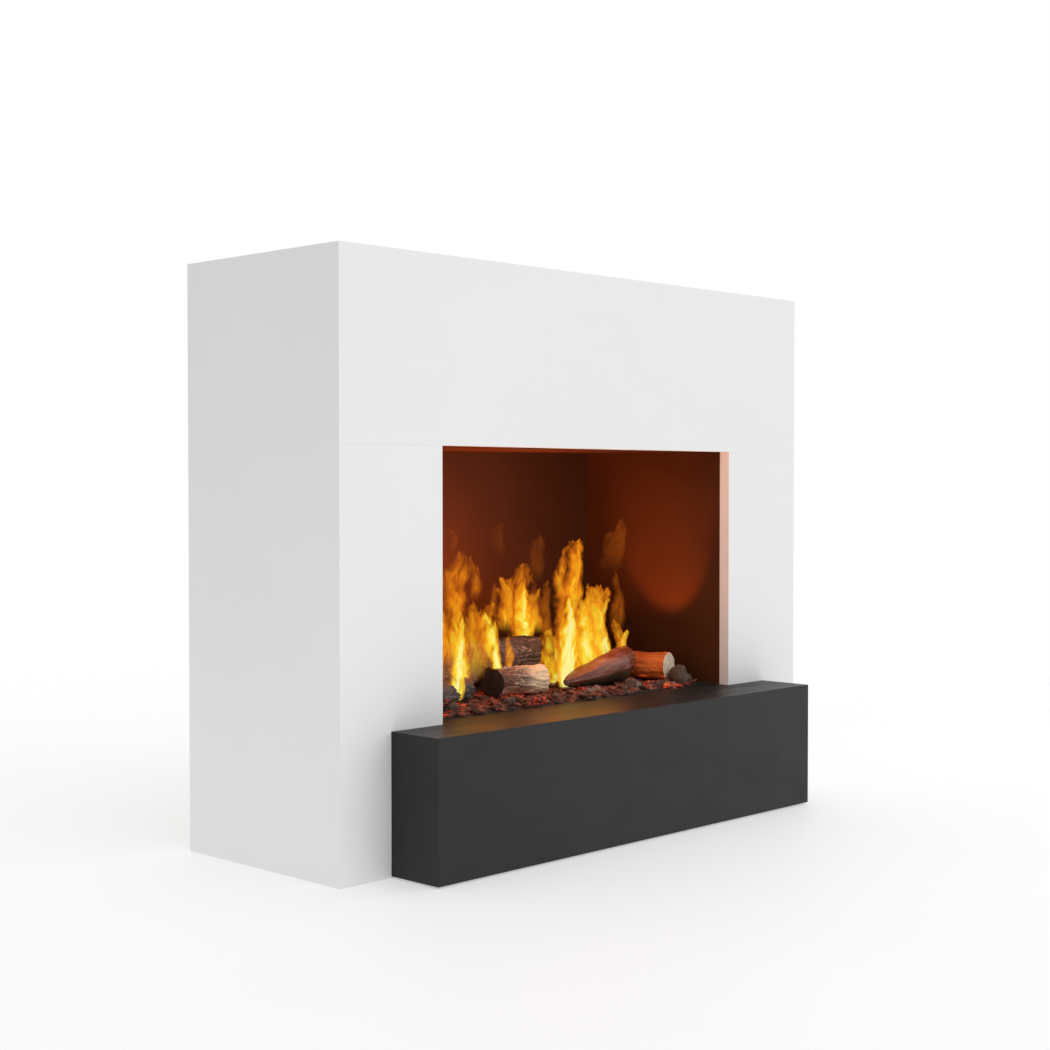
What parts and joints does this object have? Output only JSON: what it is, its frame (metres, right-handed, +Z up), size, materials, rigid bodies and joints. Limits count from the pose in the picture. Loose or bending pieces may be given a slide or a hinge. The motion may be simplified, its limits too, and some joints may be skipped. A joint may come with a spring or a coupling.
{
  "type": "electric fireplace",
  "caption": "Free-standing electric fireplace: white box surround, open firebox with log bed and mist flame effect, black hearth that pulls out as a drawer.",
  "frame": {"origin": "on the floor, below the middle of the bounding box", "axes": "+Z up, -Y is the front that faces the room, +X to the right as seen from the front"},
  "size_m": [1.2, 0.51, 1],
  "materials": {
    "white_lacquer": "matt white lacquer on board",
    "carcass_board": "raw particle board",
    "hardboard": "smooth brown hardboard",
    "hearth_lacquer": "satin black lacquer on board",
    "firebox_steel": "heat-proof dark brown satin paint",
    "black_steel": "satin black powder coat",
    "zinc_steel": "zinc plated",
    "element_aluminium": "bare finned aluminium",
    "motor_grey": "dark grey satin",
    "black_plastic": "fine grained black",
    "grey_plastic": "fine grained grey",
    "button_plastic": "satin dark grey",
    "rocker_plastic": "glossy red",
    "knob_metal": "spun satin metal",
    "circuit_board": "green solder mask",
    "basin_plastic": "natural white",
    "transducer_brass": "plated brass",
    "lamp_glass": "amber lens",
    "tank_plastic": "translucent blue grey",
    "tank_trim": "blue",
    "ember_resin": "cast resin embers, lit from below",
    "log_resin": "cast resin with painted bark and char"
  },
  "bodies": {
    "root": {"side_panel_left": "white_lacquer", "side_panel_right": "white_lacquer", "pilaster_left": "white_lacquer", "pilaster_right": "white_lacquer", "lintel_panel": "white_lacquer", "top_panel": "white_lacquer", "base_board": "carcass_board", "partition_left": "carcass_board", "partition_right": "carcass_board", "ceiling_shelf": "carcass_board", "rear_frame": "carcass_board", "back_cover": "hardboard", "back_cover_screws": "zinc_steel", "firebox_back": "firebox_steel", "firebox_side_left": "firebox_steel", "firebox_side_right": "firebox_steel", "firebox_ceiling": "firebox_steel", "wall_brackets": "zinc_steel", "runner_outer_rails": "zinc_steel", "heater_casing": "zinc_steel", "heater_element": "element_aluminium", "heater_grille": "black_steel", "heater_motor": "motor_grey", "control_fascia": "black_plastic", "control_housing": "grey_plastic", "control_board": "circuit_board", "mains_gland": "black_plastic"},
    "heater_rotor": {"heater_impeller": "grey_plastic", "heater_shaft": "zinc_steel"},
    "power_rocker": {"power_rocker": "rocker_plastic"},
    "flame_knob": {"flame_knob": "knob_metal"},
    "heat_button": {"heat_button": "button_plastic"},
    "glow_button": {"glow_button": "button_plastic"},
    "runner_middle": {"runner_middle_rails": "zinc_steel"},
    "hearth_drawer": {"hearth_top": "hearth_lacquer", "hearth_front": "hearth_lacquer", "hearth_end_left": "hearth_lacquer", "hearth_end_right": "hearth_lacquer", "drawer_tray": "black_steel", "deck_plate": "black_steel", "runner_inner_rails": "zinc_steel", "mist_basin": "basin_plastic", "ultrasonic_units": "transducer_brass", "mist_duct": "black_plastic", "mist_fan_frame": "black_plastic", "lamp_rail": "zinc_steel", "flame_lamps": "lamp_glass", "driver_box": "grey_plastic", "tank_dock": "black_plastic"},
    "mist_fan": {"mist_fan_rotor": "black_plastic"},
    "water_tank": {"water_tank": "tank_plastic"},
    "tank_cap": {"tank_cap": "tank_trim"},
    "tank_handle": {"tank_handle": "tank_trim"},
    "log_bed": {"ember_tray": "black_steel", "ember_bed": "ember_resin", "log_rear": "log_resin", "log_front": "log_resin", "log_centre": "log_resin", "log_right": "log_resin", "log_left": "log_resin"}
  },
  "joints": [
    {"name": "hearth_slide", "type": "slide", "parent": "root", "child": "hearth_drawer", "axis": [0, -1, 0], "range_m": [0, 0.3]},
    {"name": "runner_slide", "type": "slide", "parent": "root", "child": "runner_middle", "axis": [0, -1, 0], "range_m": [0, 0.15]},
    {"name": "log_bed_lift", "type": "slide", "parent": "hearth_drawer", "child": "log_bed", "axis": [0, 0, 1], "range_m": [0, 0.12]},
    {"name": "tank_lift", "type": "slide", "parent": "hearth_drawer", "child": "water_tank", "axis": [0, 0, 1], "range_m": [0, 0.2]},
    {"name": "tank_handle_swing", "type": "hinge", "parent": "water_tank", "child": "tank_handle", "pos_m": [0, 0.149, 0.222], "axis": [1, 0, 0], "range_deg": [0, 95]},
    {"name": "tank_cap_turn", "type": "hinge", "parent": "water_tank", "child": "tank_cap", "pos_m": [0, 0.167, 0.05], "axis": [0, 0, 1], "range_deg": [0, 90]},
    {"name": "mist_fan_spin", "type": "hinge", "parent": "hearth_drawer", "child": "mist_fan", "pos_m": [0, -0.05, 0.13], "axis": [0, 1, 0], "continuous": true},
    {"name": "heater_fan_spin", "type": "hinge", "parent": "root", "child": "heater_rotor", "pos_m": [0, -0.04, 0.7737], "axis": [1, 0, 0], "continuous": true},
    {"name": "power_rock", "type": "hinge", "parent": "root", "child": "power_rocker", "pos_m": [-0.3839, -0.083, 0.642], "axis": [0, -1, 0], "range_deg": [0, 20]},
    {"name": "flame_turn", "type": "hinge", "parent": "root", "child": "flame_knob", "pos_m": [-0.37, -0.083, 0.608], "axis": [-1, 0, 0], "range_deg": [0, 270]},
    {"name": "heat_press", "type": "slide", "parent": "root", "child": "heat_button", "axis": [-1, 0, 0], "range_m": [0, 0.0015], "stiffness_N_per_m": 300, "springref_m": -0.001},
    {"name": "glow_press", "type": "slide", "parent": "root", "child": "glow_button", "axis": [-1, 0, 0], "range_m": [0, 0.0015], "stiffness_N_per_m": 300, "springref_m": -0.001}
  ],
  "couplings": [
    {"joint": "runner_slide", "follows": "hearth_slide", "ratio": 0.5}
  ]
}
